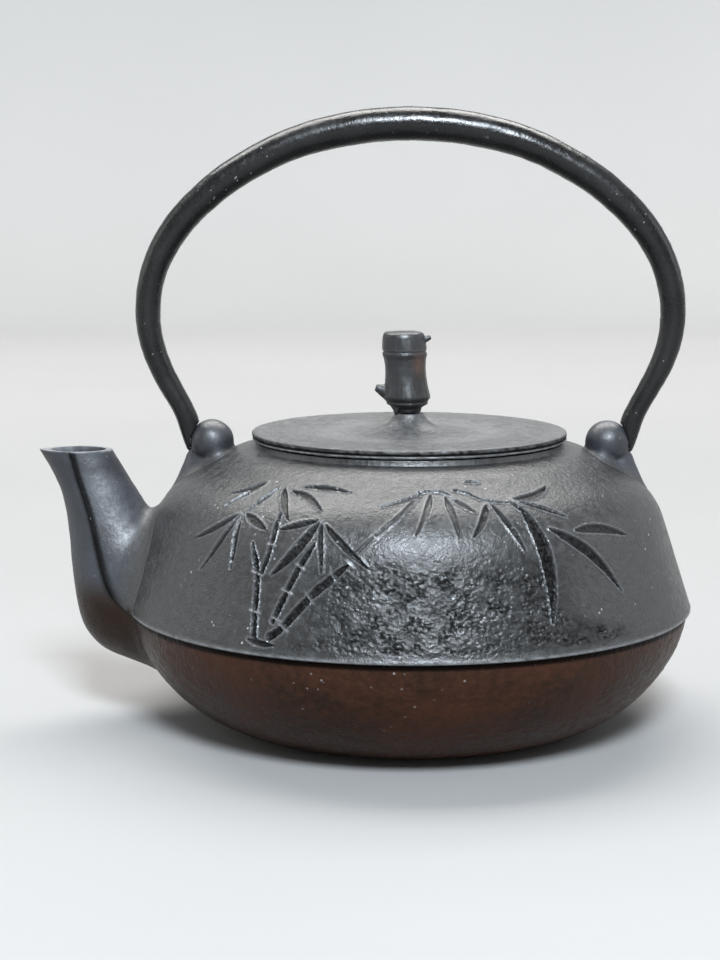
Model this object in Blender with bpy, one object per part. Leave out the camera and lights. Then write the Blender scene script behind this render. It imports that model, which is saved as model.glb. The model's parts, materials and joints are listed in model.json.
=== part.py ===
"""Cast iron teapot with a bail handle, a bamboo lid knob and a steel infuser.

Metres, +Z up. The pot's axis is x = y = 0, its base stands at z = 0, the spout points to -X,
and the upright bail lies in the XZ plane. Every piece is its own object.
"""

import math

import bmesh
import bpy
from mathutils import Matrix, Vector

# Driving dimensions
MM = 0.001
POT_RADIUS = 90.5 * MM  # at the casting's parting rim
RIM_Z = 39.0 * MM  # height of the parting rim above the base
BASE_RADIUS = 46.0 * MM  # flat the pot stands on
WALL = 3.5 * MM  # iron wall
GAP = 0.3 * MM  # clearance between touching pieces
RIM_STEP = 1.0 * MM  # the upper half overhangs the bowl by this much
SHELL_FOOT = -0.9 * MM  # underside of the overhang, from the parting rim
BOWL_TOP = -1.2 * MM
BOWL_POWER = 1.7  # fullness of the bowl's curve
CONE_SLOPE = 0.322  # the side leans in this much for each unit of height
CONE_TOP = 28.0 * MM  # above the rim, where the shoulder's arc starts
SHOULDER_ARC = 24.0 * MM
SHOULDER_END = 60.0  # degrees from horizontal of the outward normal, where the arc ends

MOUTH_RADIUS = 44.0 * MM
SEAT_RADIUS = 46.8 * MM  # rebate that the infuser's flange drops into
SEAT_Z = 50.7 * MM  # this and the heights below count from the parting rim
COLLAR_RADIUS = 49.6 * MM
COLLAR_TOP = 52.3 * MM

LID_RADIUS = 50.3 * MM
LID_TOP = 55.3 * MM
LID_THICKNESS = 2.7 * MM
SKIRT_RADIUS = 40.0 * MM
SKIRT_WALL = 2.6 * MM
SKIRT_BOTTOM = 45.6 * MM
NECK_RADIUS = 4.6 * MM
NECK_TOP = 60.8 * MM
LID_CEILING = 52.3 * MM  # the lid's underside within its skirt
TANG_RADIUS = 2.0 * MM  # the knob's iron tang, peened under the lid
TANG_TOP = 73.0 * MM
HEAD_TOP = 50.9 * MM  # the tang's peened head
WASHER_RADIUS = 5.5 * MM
WASHER_BOTTOM = 51.2 * MM
WASHER_TOP = 52.0 * MM

INFUSER_RADIUS = 42.2 * MM
FLANGE_RADIUS = 46.3 * MM
FLANGE_TOP = 51.6 * MM
RING_BOTTOM = 41.0 * MM  # of the steel ring that holds the woven cup
CUP_TOP = 45.0 * MM
CUP_FOOT = 37.4 * MM
INFUSER_BOTTOM = -9.0 * MM
SHEET = 0.7 * MM  # steel sheet of the infuser
CUP_WALL = 0.6 * MM
PAN_DEPTH = 2.6 * MM

LUG_RADIUS = 7.1 * MM
LUG_X = 63.5 * MM
PIVOT_Z = 51.5 * MM
PIN_RADIUS = 1.9 * MM
PIN_START = 65.7 * MM  # along X, in the lug
PIN_END = 71.6 * MM  # within the bail
BORE_START = 65.3 * MM
BORE_END = 74.0 * MM

AROUND_POT = 60
AROUND_INFUSER = 40
AROUND_SMALL = 28

HANDLE_PATH = [  # x, height above the rim, half thickness, half width across
    (0.0, 152.5, 5.3, 5.8), (14.0, 151.6, 5.3, 5.8), (27.0, 149.2, 5.2, 5.7),
    (36.5, 146.4, 5.0, 5.6), (45.6, 142.4, 4.9, 5.5), (57.4, 135.6, 4.8, 5.4),
    (66.3, 128.4, 4.7, 5.2), (72.5, 122.0, 4.55, 5.1), (77.4, 115.0, 4.4, 5.0),
    (80.9, 107.8, 4.2, 4.8), (82.9, 100.5, 4.1, 4.7), (83.6, 93.7, 4.0, 4.6),
    (83.2, 86.9, 3.9, 4.4), (81.6, 80.2, 3.75, 4.2), (78.8, 73.4, 3.6, 4.0),
    (75.4, 67.0, 3.4, 3.8), (73.0, 62.6, 3.3, 3.6), (71.4, 59.0, 3.4, 3.4),
    (70.6, 56.0, 3.3, 3.1), (70.2, 53.2, 2.7, 2.8), (70.0, 50.9, 1.8, 2.2),
    (69.9, 49.6, 1.0, 1.4),
]

SPOUT_STATIONS = [  # back x, z; ridge x, z; front x, z; half width across the ridge
    (-70.0, 30.0, -76.0, -2.0, -74.0, -26.0, 26.0), (-78.0, 30.2, -87.0, -0.2, -88.0, -20.8, 22.5),
    (-81.6, 29.6, -91.0, 1.6, -98.2, -16.9, 20.0), (-83.6, 29.6, -94.8, 5.6, -104.2, -11.6, 17.8),
    (-84.9, 30.6, -97.2, 10.5, -107.2, -5.0, 16.0), (-86.0, 32.2, -98.6, 15.5, -108.6, 3.0, 14.5),
    (-87.4, 34.4, -100.0, 21.0, -109.6, 12.3, 13.0), (-89.3, 37.6, -101.6, 27.6, -110.4, 23.5, 11.4),
    (-91.4, 41.2, -103.6, 34.2, -112.2, 34.0, 10.0), (-93.5, 44.8, -105.8, 40.4, -115.4, 41.8, 8.9),
    (-95.9, 48.8, -108.0, 48.8, -119.4, 48.8, 8.2),
]

BORE_STATIONS = [  # the waterway, from inside the pot's wall to above the spout's mouth
    (-66.0, 16.0, -68.0, 6.0, -68.0, -5.0, 11.0), (-84.0, 18.0, -88.0, 6.0, -90.0, -8.0, 11.5),
    (-88.5, 24.0, -96.0, 10.5, -102.0, -3.0, 11.0), (-90.6, 30.5, -99.0, 16.0, -104.8, 7.0, 10.0),
    (-92.6, 36.5, -101.5, 26.0, -106.6, 21.0, 8.6), (-95.6, 43.0, -104.0, 37.0, -109.6, 36.0, 7.0),
    (-98.8, 51.0, -106.5, 51.0, -114.0, 51.0, 5.6),
]

TAIL_LEVELS = [  # the lug's tail: x, half depth along x, half width, height above the rim
    (62.3, 4.9, 4.6, 50.5), (63.3, 5.0, 4.5, 46.5), (65.8, 5.3, 4.4, 43.0),
    (67.7, 5.6, 4.3, 38.5), (69.0, 5.8, 4.2, 33.0),
]

BAIL_SIDES = 12
BAIL_STEPS = 2  # loft rings between two points of the bail's path


def clear_scene():
    for item in list(bpy.data.objects):
        bpy.data.objects.remove(item, do_unlink=True)


def make_material(name, color, roughness, metallic):
    material = bpy.data.materials.new(name)
    material.use_nodes = True
    shader = material.node_tree.nodes["Principled BSDF"]
    shader.inputs["Base Color"].default_value = (*color, 1.0)
    shader.inputs["Roughness"].default_value = roughness
    shader.inputs["Metallic"].default_value = metallic
    return material


def add_object(name, mesh_data, origin=(0, 0, 0), material=None, parent=None, crease=35.0):
    """Makes an object from a bmesh in row coordinates, with its origin at the given point."""
    shift = Vector(origin)
    bmesh.ops.translate(mesh_data, vec=-shift, verts=mesh_data.verts)
    mesh = bpy.data.meshes.new(name)
    mesh_data.to_mesh(mesh)
    mesh_data.free()
    mesh.shade_smooth()
    mesh.set_sharp_from_angle(angle=math.radians(crease))
    item = bpy.data.objects.new(name, mesh)
    bpy.context.scene.collection.objects.link(item)
    if material:
        mesh.materials.append(material)
    item.location = shift
    if parent:
        item.parent = parent
        item.location = shift - parent.location
    return item


def add_pivot(name, point):
    pivot = bpy.data.objects.new(name, None)
    pivot.location = point
    pivot.empty_display_size = 0.01
    bpy.context.scene.collection.objects.link(pivot)
    return pivot


def make_cutter(item):
    item.hide_render = True
    item.display_type = "WIRE"
    return item


def apply_boolean(item, operation, *others):
    for other in others:
        boolean = item.modifiers.new(other.name, "BOOLEAN")
        boolean.operation = operation
        boolean.solver = "EXACT"
        boolean.object = other


def arc(center, radius, start, end, steps):
    """Points on an arc in the (radius, height) plane, angles in degrees."""
    points = []
    for step in range(steps + 1):
        angle = math.radians(start + (end - start) * step / steps)
        points.append((center[0] + radius * math.cos(angle), center[1] + radius * math.sin(angle)))
    return points


def turned(outline, segments):
    """Turns an outline of (radius, height above the base) points about the Z axis."""
    mesh_data = bmesh.new()
    verts = [mesh_data.verts.new((radius, 0, height)) for radius, height in outline]
    pairs = list(zip(verts, verts[1:]))
    if outline[0][0] > 1e-6:
        pairs.append((verts[-1], verts[0]))
    edges = [mesh_data.edges.new(pair) for pair in pairs]
    bmesh.ops.spin(
        mesh_data, geom=verts + edges, axis=(0, 0, 1), cent=(0, 0, 0),
        angle=math.tau, steps=segments, use_merge=True, use_duplicate=False,
    )
    bmesh.ops.remove_doubles(mesh_data, verts=mesh_data.verts, dist=1e-6)
    bmesh.ops.recalc_face_normals(mesh_data, faces=mesh_data.faces)
    return mesh_data


def above_rim(outline):
    return [(radius, height + RIM_Z) for radius, height in outline]


def loft(rings):
    """Skins closed rings of equal length in order and caps both ends."""
    mesh_data = bmesh.new()
    rows = [[mesh_data.verts.new(point) for point in ring] for ring in rings]
    count = len(rings[0])
    for row, following in zip(rows, rows[1:]):
        for index in range(count):
            after = (index + 1) % count
            mesh_data.faces.new((row[index], row[after], following[after], following[index]))
    mesh_data.faces.new(rows[0])
    mesh_data.faces.new(rows[-1])
    bmesh.ops.recalc_face_normals(mesh_data, faces=mesh_data.faces)
    return mesh_data


def catmull_rom(points, steps):
    """A smooth path through the points, with the same number of steps between each two."""
    padded = [points[0]] + list(points) + [points[-1]]
    path = []
    for index in range(1, len(padded) - 2):
        before, here, after, beyond = padded[index - 1:index + 3]
        for step in range(steps):
            t = step / steps
            path.append(tuple(
                0.5 * (2 * b + (c - a) * t + (2 * a - 5 * b + 4 * c - d) * t * t
                       + (3 * b - a - 3 * c + d) * t ** 3)
                for a, b, c, d in zip(before, here, after, beyond)
            ))
    path.append(tuple(points[-1]))
    return path


# The pot

def bowl_curve(radius, flat, depth, steps):
    """The bowl from its flat up to its rim, as (radius, height from the rim)."""
    points = []
    for step in range(steps + 1):
        turn = math.pi / 2 * step / steps
        drop = math.cos(turn) ** (2 / BOWL_POWER)
        points.append((flat + (radius - flat) * math.sin(turn), -depth * drop))
    return points


def side_curve(rim, inset, steps):
    """The leaning side and the shoulder's arc, inset from the outer face."""
    lean = math.atan(CONE_SLOPE)
    start = (rim - CONE_SLOPE * CONE_TOP, CONE_TOP)
    center = (start[0] - SHOULDER_ARC * math.cos(lean), start[1] - SHOULDER_ARC * math.sin(lean))
    curve = arc(center, SHOULDER_ARC - inset, math.degrees(lean), SHOULDER_END, steps)
    return [(rim - inset / math.cos(lean), 0.0)] + curve


def overhang():
    """The rounded lip of the upper half, up to the parting rim."""
    return [(POT_RADIUS - 0.25 * MM, SHELL_FOOT), (POT_RADIUS, -0.3 * MM)]


def shell_side():
    """The upper half's outer face, from the parting rim up to the collar's foot."""
    shoulder = [(59.5 * MM, 47.9 * MM), (55.5 * MM, 49.6 * MM), (51.8 * MM, 50.3 * MM)]
    return side_curve(POT_RADIUS, 0.0, 5) + shoulder


def bowl_side():
    """The lower half's outer face, from the flat it stands on up to the overhang."""
    rim = POT_RADIUS - RIM_STEP
    return bowl_curve(rim, BASE_RADIUS, RIM_Z, 8)[:-1] + [(rim, BOWL_TOP)]


def make_shell(iron, waterway):
    """The upper half: the leaning side, the shoulder and the collar round the mouth."""
    throat = [(MOUTH_RADIUS, 46.9 * MM), (50.0 * MM, 46.5 * MM), (58.0 * MM, 45.0 * MM)]
    mouth = [(COLLAR_RADIUS, SEAT_Z + 0.2 * MM), (COLLAR_RADIUS, COLLAR_TOP - 0.5 * MM),
             (COLLAR_RADIUS - 0.5 * MM, COLLAR_TOP), (SEAT_RADIUS + 0.4 * MM, COLLAR_TOP),
             (SEAT_RADIUS, COLLAR_TOP - 0.4 * MM), (SEAT_RADIUS, SEAT_Z), (MOUTH_RADIUS, SEAT_Z)]
    inner = side_curve(POT_RADIUS, WALL, 4)[::-1]
    outline = overhang() + shell_side() + mouth + throat + inner + [(inner[-1][0], SHELL_FOOT)]
    shell = add_object("pot_shell", turned(above_rim(outline), AROUND_POT), material=iron)
    apply_boolean(shell, "DIFFERENCE", waterway)
    return shell


def make_bowl(iron, waterway):
    """The lower half, down to the flat that the pot stands on."""
    rim = POT_RADIUS - RIM_STEP - WALL
    inside = bowl_curve(rim, BASE_RADIUS - WALL, RIM_Z - WALL, 6)[:-1] + [(rim, BOWL_TOP)]
    outline = [(0.0, -RIM_Z)] + bowl_side() + inside[::-1] + [(0.0, WALL - RIM_Z)]
    bowl = add_object("pot_bowl", turned(above_rim(outline), AROUND_POT), material=iron)
    apply_boolean(bowl, "DIFFERENCE", waterway)
    return bowl


def make_pot_clearance():
    """The pot's outer shape, grown by the gap: what stands on the pot is trimmed with it."""
    outer = bowl_side() + overhang() + shell_side()
    grown = [(radius + GAP, height + (GAP if height > 0 else 0.0)) for radius, height in outer]
    outline = [(0.0, -RIM_Z)] + grown + [(0.0, 51.0 * MM)]
    return make_cutter(add_object("pot_clearance", turned(above_rim(outline), AROUND_POT)))


# The spout

def spout_ring(station, step, point):
    """One ring of the spout: back edge, round to the ridge, then the inset front to its edge."""
    back_x, back_z, ridge_x, ridge_z, front_x, front_z, width = station
    quarter = 6
    half = []
    for index in range(quarter + 1):
        turn = math.pi / 2 * index / quarter
        along = 1 - math.cos(turn)
        half.append((back_x + (ridge_x - back_x) * along, width * math.sin(turn),
                     back_z + (ridge_z - back_z) * along))
    if step:
        half.append((ridge_x + (front_x - ridge_x) * 0.05, width - step,
                     ridge_z + (front_z - ridge_z) * 0.05))
    for index in range(quarter - 1, -1, -1):
        turn = math.pi / 2 * index / quarter
        along = 1 - math.cos(turn)
        half.append((front_x + (ridge_x - front_x) * along, (width - step) * math.sin(turn) ** (1 + point),
                     front_z + (ridge_z - front_z) * along))
    other = [(x, -y, z) for x, y, z in half[-2:0:-1]]
    return [Vector((x * MM, y * MM, z * MM + RIM_Z)) for x, y, z in half + other]


def spout_loft(stations, step, point):
    path = catmull_rom(stations, 2)
    last = len(path) - 1
    return loft([spout_ring(station, step, point * index / last) for index, station in enumerate(path)])


def make_waterway():
    """The channel from the pot through its wall and up the spout."""
    return make_cutter(add_object("waterway_cutter", spout_loft(BORE_STATIONS, 0.0, 0.0)))


def make_spout(iron, clearance, waterway):
    spout = add_object("spout", spout_loft(SPOUT_STATIONS, 0.7, 0.6), material=iron)
    apply_boolean(spout, "DIFFERENCE", clearance, waterway)
    return spout


# The lugs

def ellipse_ring(center, half_x, half_y, height, count=20):
    ring = []
    for index in range(count):
        angle = math.tau * index / count
        ring.append(Vector((center + half_x * math.cos(angle), half_y * math.sin(angle), height + RIM_Z)))
    return ring


def lug_ball(side, radius):
    """A ball about the bail's pivot, with its poles on the pivot's axis."""
    ball = bmesh.new()
    bmesh.ops.create_uvsphere(ball, u_segments=20, v_segments=12, radius=radius)
    bmesh.ops.rotate(ball, cent=(0, 0, 0), verts=ball.verts, matrix=Matrix.Rotation(math.pi / 2, 3, "Y"))
    bmesh.ops.translate(ball, vec=(side * LUG_X, 0, PIVOT_Z + RIM_Z), verts=ball.verts)
    return ball


def make_lug(side, name, iron, clearance):
    """A round boss with a tail that runs down the shoulder, bored for the bail's pin."""
    lug = add_object(name, lug_ball(side, LUG_RADIUS), material=iron)
    rings = [ellipse_ring(side * x * MM, a * MM, b * MM, z * MM) for x, a, b, z in TAIL_LEVELS]
    tail = make_cutter(add_object(name + "_tail", loft(rings)))
    hole = make_rod(side * BORE_START, side * BORE_END, PIN_RADIUS + GAP)
    bore = make_cutter(add_object(name + "_bore", hole))
    apply_boolean(lug, "UNION", tail)
    apply_boolean(lug, "DIFFERENCE", clearance, bore)
    return lug


def make_rod(start, end, radius, count=20):
    """A round rod on the bail's axis, between two places along X."""
    rings = []
    for x in (start, end):
        ring = []
        for index in range(count):
            angle = math.tau * index / count
            ring.append(Vector((x, radius * math.cos(angle), PIVOT_Z + RIM_Z + radius * math.sin(angle))))
        rings.append(ring)
    return loft(rings)


# The bail handle

def handle_rings():
    """Oval rings square to the bail's path, from the right end over the crown to the left end."""
    half = catmull_rom(HANDLE_PATH, BAIL_STEPS)
    stations = [(x, z, a, b) for x, z, a, b in reversed(half)]
    stations += [(-x, z, a, b) for x, z, a, b in half[1:]]
    rings = []
    last = len(stations) - 1
    for index, (x, z, thick, width) in enumerate(stations):
        before, after = stations[max(index - 1, 0)], stations[min(index + 1, last)]
        along = Vector((after[0] - before[0], 0, after[1] - before[1])).normalized()
        outward = Vector((along.z, 0, -along.x))
        middle = Vector((x * MM, 0, z * MM + RIM_Z))
        ring = []
        for step in range(BAIL_SIDES):
            angle = math.tau * step / BAIL_SIDES
            offset = outward * (thick * MM * math.cos(angle))
            ring.append(middle + offset + Vector((0, width * MM * math.sin(angle), 0)))
        rings.append(ring)
    return rings


def make_handle(iron, pivot):
    handle = add_object("handle", loft(handle_rings()), origin=pivot.location, material=iron, parent=pivot)
    for side, word in ((1, "right"), (-1, "left")):
        socket = make_cutter(add_object("handle_socket_" + word, lug_ball(side, LUG_RADIUS + GAP)))
        rod = make_rod(side * PIN_START, side * PIN_END, PIN_RADIUS)
        pin = make_cutter(add_object("handle_pin_" + word, rod))
        apply_boolean(handle, "DIFFERENCE", socket)
        apply_boolean(handle, "UNION", pin)
    return handle


# The lid, its knob and the tang that joins them

def make_lid(iron, pivot):
    underside = LID_TOP - LID_THICKNESS
    flare = [(26.0 * MM, 54.7 * MM), (16.0 * MM, 55.2 * MM), (10.0 * MM, 56.2 * MM),
             (6.9 * MM, 57.8 * MM), (5.3 * MM, 59.4 * MM), (NECK_RADIUS, NECK_TOP)]
    top = [(LID_RADIUS, LID_TOP - 0.5 * MM), (LID_RADIUS - 0.5 * MM, LID_TOP), (33.0 * MM, LID_TOP),
           (30.0 * MM, 54.8 * MM)] + flare
    hole = TANG_RADIUS + GAP
    inside = SKIRT_RADIUS - SKIRT_WALL
    below = [(hole, LID_CEILING), (inside, LID_CEILING), (inside, SKIRT_BOTTOM),
             (SKIRT_RADIUS, SKIRT_BOTTOM), (SKIRT_RADIUS, underside), (LID_RADIUS, underside)]
    outline = top + [(hole, NECK_TOP)] + below
    return add_object("lid", turned(above_rim(outline), AROUND_POT), origin=pivot.location,
                      material=iron, parent=pivot)


def make_washer(steel, pivot):
    hole = TANG_RADIUS + GAP
    outline = [(hole, WASHER_BOTTOM), (WASHER_RADIUS, WASHER_BOTTOM), (WASHER_RADIUS, WASHER_TOP),
               (hole, WASHER_TOP)]
    return add_object("knob_washer", turned(above_rim(outline), AROUND_SMALL), origin=pivot.location,
                      material=steel, parent=pivot)


def make_tang(iron, pivot):
    head = [(0.0, 49.3 * MM), (2.4 * MM, 49.5 * MM), (3.6 * MM, 50.3 * MM), (3.6 * MM, HEAD_TOP)]
    outline = head + [(TANG_RADIUS, HEAD_TOP), (TANG_RADIUS, TANG_TOP), (0.0, TANG_TOP)]
    return add_object("knob_tang", turned(above_rim(outline), AROUND_SMALL), origin=pivot.location,
                      material=iron, parent=pivot)


def make_knob(iron, pivot):
    """A length of bamboo: a foot, a node, a waisted stem, a second node and a crowned top."""
    hole = TANG_RADIUS + GAP
    foot = NECK_TOP + GAP
    socket = [(0.0, TANG_TOP + GAP), (hole, TANG_TOP + GAP), (hole, foot), (4.3 * MM, foot)]
    outside = [(4.3, 62.6), (5.4, 63.3), (6.9, 64.6), (7.5, 65.8), (7.4, 66.6), (7.2, 67.4), (6.6, 69.8),
               (6.1, 73.0), (6.1, 76.0), (6.5, 78.4), (6.9, 79.6), (7.0, 80.3), (6.7, 81.0), (6.6, 81.8),
               (6.3, 84.4), (5.9, 86.0), (4.6, 86.6), (0.0, 86.8)]
    outline = socket + [(r * MM, z * MM) for r, z in outside]
    knob = add_object("lid_knob", turned(above_rim(outline), AROUND_SMALL), origin=pivot.location,
                      material=iron, parent=pivot)
    low_stub = make_stub("knob_low_stub", (-4.0, 0, 66.6), (-11.3, -0.6, 69.1), 3.1, 0.8)
    high_stub = make_stub("knob_high_stub", (3.6, 0, 81.6), (8.4, -0.5, 84.2), 2.7, 0.8)
    apply_boolean(knob, "UNION", low_stub, high_stub)
    return knob


def make_stub(name, start, end, root, tip):
    """A cut-off side branch: a short tapered peg."""
    start = Vector(start) * MM + Vector((0, 0, RIM_Z))
    end = Vector(end) * MM + Vector((0, 0, RIM_Z))
    turn = (end - start).to_track_quat("Z", "Y").to_matrix()
    steps = 3
    sides = 14
    rings = []
    for step in range(steps + 1):
        t = step / steps
        radius = (root + (tip - root) * t ** 0.7) * MM
        middle = start.lerp(end, t)
        ring = []
        for index in range(sides):
            angle = math.tau * index / sides
            ring.append(middle + turn @ Vector((radius * math.cos(angle), radius * math.sin(angle), 0)))
        rings.append(ring)
    return make_cutter(add_object(name, loft(rings)))


# The infuser

def make_infuser(steel, mesh_steel, pivot):
    outer = INFUSER_RADIUS
    inner = outer - SHEET
    rim = [(inner, FLANGE_TOP), (inner, RING_BOTTOM), (outer, RING_BOTTOM), (outer, FLANGE_TOP - SHEET),
           (FLANGE_RADIUS, FLANGE_TOP - SHEET), (FLANGE_RADIUS, FLANGE_TOP)]
    add_object("infuser_rim", turned(above_rim(rim), AROUND_INFUSER), origin=pivot.location,
               material=steel, parent=pivot)
    wall = inner - GAP
    cup = [(wall - CUP_WALL, CUP_TOP), (wall - CUP_WALL, RING_BOTTOM), (CUP_FOOT - CUP_WALL, INFUSER_BOTTOM),
           (CUP_FOOT, INFUSER_BOTTOM), (wall, RING_BOTTOM), (wall, CUP_TOP)]
    add_object("infuser_mesh", turned(above_rim(cup), AROUND_INFUSER), origin=pivot.location,
               material=mesh_steel, parent=pivot)
    floor = INFUSER_BOTTOM - GAP
    lip = CUP_FOOT + GAP
    base = [(0.0, floor - SHEET), (lip + SHEET, floor - SHEET), (lip + SHEET, floor + PAN_DEPTH),
            (lip + 0.1 * MM, floor + PAN_DEPTH), (lip, floor), (0.0, floor)]
    add_object("infuser_base", turned(above_rim(base), AROUND_INFUSER), origin=pivot.location,
               material=steel, parent=pivot)


def main():
    clear_scene()
    shell_iron = make_material("shell_iron", (0.10, 0.105, 0.105), 0.62, 0.55)
    bowl_iron = make_material("bowl_iron", (0.04, 0.033, 0.03), 0.5, 0.45)
    satin_iron = make_material("satin_iron", (0.075, 0.085, 0.105), 0.42, 0.65)
    black_iron = make_material("black_iron", (0.018, 0.018, 0.020), 0.38, 0.5)
    lid_iron = make_material("lid_iron", (0.16, 0.165, 0.16), 0.6, 0.55)
    steel = make_material("steel", (0.62, 0.62, 0.61), 0.3, 1.0)
    mesh_steel = make_material("mesh_steel", (0.5, 0.5, 0.49), 0.4, 1.0)

    handle_pivot = add_pivot("handle_pivot", (0, 0, PIVOT_Z + RIM_Z))
    infuser_slide = add_pivot("infuser_slide", (0, 0, SEAT_Z + RIM_Z))
    lid_slide = add_pivot("lid_slide", (0, 0, COLLAR_TOP + RIM_Z))
    knob_pivot = add_pivot("knob_pivot", (0, 0, NECK_TOP + RIM_Z))

    clearance = make_pot_clearance()
    waterway = make_waterway()
    make_shell(shell_iron, waterway)
    make_bowl(bowl_iron, waterway)
    make_spout(satin_iron, clearance, waterway)
    make_lug(1, "lug_right", satin_iron, clearance)
    make_lug(-1, "lug_left", satin_iron, clearance)
    make_handle(black_iron, handle_pivot)
    make_infuser(steel, mesh_steel, infuser_slide)
    make_lid(lid_iron, lid_slide)
    make_washer(steel, lid_slide)
    make_tang(black_iron, knob_pivot)
    make_knob(black_iron, knob_pivot)


main()
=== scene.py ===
import json
import math

import bmesh
import bpy
import numpy as np
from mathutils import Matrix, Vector, kdtree, noise


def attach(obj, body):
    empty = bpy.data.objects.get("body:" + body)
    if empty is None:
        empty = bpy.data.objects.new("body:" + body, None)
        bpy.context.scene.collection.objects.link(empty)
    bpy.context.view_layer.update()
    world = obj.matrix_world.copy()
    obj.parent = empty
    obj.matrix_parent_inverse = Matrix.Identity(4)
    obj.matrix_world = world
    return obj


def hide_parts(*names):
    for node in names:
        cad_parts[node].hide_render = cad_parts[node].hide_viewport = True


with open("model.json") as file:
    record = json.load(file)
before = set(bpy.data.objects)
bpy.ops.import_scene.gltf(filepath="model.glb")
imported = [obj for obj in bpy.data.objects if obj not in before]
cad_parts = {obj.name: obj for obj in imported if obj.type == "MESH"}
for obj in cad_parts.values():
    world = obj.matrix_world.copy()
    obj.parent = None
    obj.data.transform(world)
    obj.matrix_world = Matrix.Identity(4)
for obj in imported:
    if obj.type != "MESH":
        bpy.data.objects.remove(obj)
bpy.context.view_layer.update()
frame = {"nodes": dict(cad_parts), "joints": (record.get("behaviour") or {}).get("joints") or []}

mm = 0.001
rimZ = 39.0 * mm                     # the parting rim's height; heights of pieces count from here
pivot = Vector(next(j for j in frame["joints"] if j["name"] == "bail_swing")["pos_m"])


# ---- shader helpers

class Field:
    # a shader socket that Python arithmetic can be done on

    def __init__(self, tree, socket):
        self.tree = tree
        self.socket = socket

    def node(self, kind, settings=None, inputs=None, out=0):
        made = self.tree.nodes.new(kind)
        for name, value in (settings or {}).items():
            if name == "stops":
                setStops(made.color_ramp, value)
            else:
                setattr(made, name, value)
        for name, value in (inputs or {}).items():
            if isinstance(value, Field):
                self.tree.links.new(value.socket, made.inputs[name])
            else:
                made.inputs[name].default_value = value
        return Field(self.tree, made.outputs[out])

    def maths(self, operation, *values, clamp=False):
        settings = {"operation": operation, "use_clamp": clamp}
        return self.node("ShaderNodeMath", settings, dict(enumerate(values)))

    def __add__(self, other):
        return self.maths("ADD", self, other)

    def __sub__(self, other):
        return self.maths("SUBTRACT", self, other)

    def __rsub__(self, other):
        return self.maths("SUBTRACT", other, self)

    def __mul__(self, other):
        return self.maths("MULTIPLY", self, other)

    def __truediv__(self, other):
        return self.maths("DIVIDE", self, other)

    def __pow__(self, other):
        return self.maths("POWER", self, other)

    __radd__ = __add__
    __rmul__ = __mul__

    def clip(self):
        return self.maths("ADD", self, 0.0, clamp=True)

    def between(self, low, high):        # 0 below low, 1 above high
        inputs = {"Value": self, "From Min": low, "From Max": high}
        return self.node("ShaderNodeMapRange", {"interpolation_type": "SMOOTHSTEP"}, inputs)

    def over(self, first, second):       # self mixes two colours
        inputs = {0: self, 6: first, 7: second}
        return self.node("ShaderNodeMix", {"data_type": "RGBA"}, inputs, out=2)

    def bump(self, distance, strength=1.0, under=None):
        inputs = {"Height": self, "Distance": distance, "Strength": strength}
        if under:
            inputs["Normal"] = under
        return self.node("ShaderNodeBump", None, inputs)


def setStops(ramp, stops):
    while len(ramp.elements) < len(stops):
        ramp.elements.new(0.5)
    for element, (place, color) in zip(ramp.elements, stops):
        element.position = place
        element.color = color


def startMaterial(name):
    material = bpy.data.materials.new(name)
    material.use_nodes = True
    tree = material.node_tree
    shader = tree.nodes["Principled BSDF"]
    place = Field(tree, tree.nodes.new("ShaderNodeTexCoord").outputs["Object"])
    return material, tree, shader, place


def plug(tree, shader, **links):
    for name, value in links.items():
        socket = shader.inputs[name.replace("_", " ")]
        if isinstance(value, Field):
            tree.links.new(value.socket, socket)
        else:
            socket.default_value = value


def noiseAt(place, scale, detail=4.0, rough=0.55, stretch=None):
    spot = place
    if stretch:
        spot = place.node("ShaderNodeMapping", None, {"Vector": place, "Scale": stretch})
    inputs = {"Vector": spot, "Scale": scale, "Detail": detail, "Roughness": rough}
    return place.node("ShaderNodeTexNoise", None, inputs)


def specksAt(place, scale, size):
    inputs = {"Vector": place, "Scale": scale}
    far = place.node("ShaderNodeTexVoronoi", {"feature": "F1"}, inputs)
    return 1 - far.between(size * 0.5, size)


def attributeOf(place, name):
    return place.node("ShaderNodeAttribute", {"attribute_name": name}, None, out=2)


def gray(value, tint=(1.0, 1.0, 1.0)):
    return (value * tint[0], value * tint[1], value * tint[2], 1.0)


# ---- mesh helpers

def pick(piece):
    bpy.ops.object.select_all(action="DESELECT")
    piece.select_set(True)
    bpy.context.view_layer.objects.active = piece


def named(piece, name):
    piece.name = name
    piece.data.name = name
    return piece


def spotsOf(piece):
    spots = np.empty(len(piece.data.vertices) * 3)
    piece.data.vertices.foreach_get("co", spots)
    return spots.reshape(-1, 3)


def setSpots(piece, spots):
    piece.data.vertices.foreach_set("co", np.asarray(spots, float).ravel())
    piece.data.update()


def setMask(piece, name, values):
    mask = piece.data.attributes.new(name, "FLOAT", "POINT")
    mask.data.foreach_set("value", np.asarray(values, float))


def grainOf(spots, size):            # smooth noise of about this size, -1 to 1
    return np.array([noise.noise(Vector(spot)) for spot in spots / size])


def smoothStep(low, high, values):
    t = np.clip((values - low) / (high - low), 0, 1)
    return t * t * (3 - 2 * t)


def faceOut(piece):
    pick(piece)
    bpy.ops.object.mode_set(mode="EDIT")
    bpy.ops.mesh.select_all(action="SELECT")
    bpy.ops.mesh.remove_doubles(threshold=1e-6)
    bpy.ops.mesh.normals_make_consistent(inside=False)
    bpy.ops.object.mode_set(mode="OBJECT")


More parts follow.
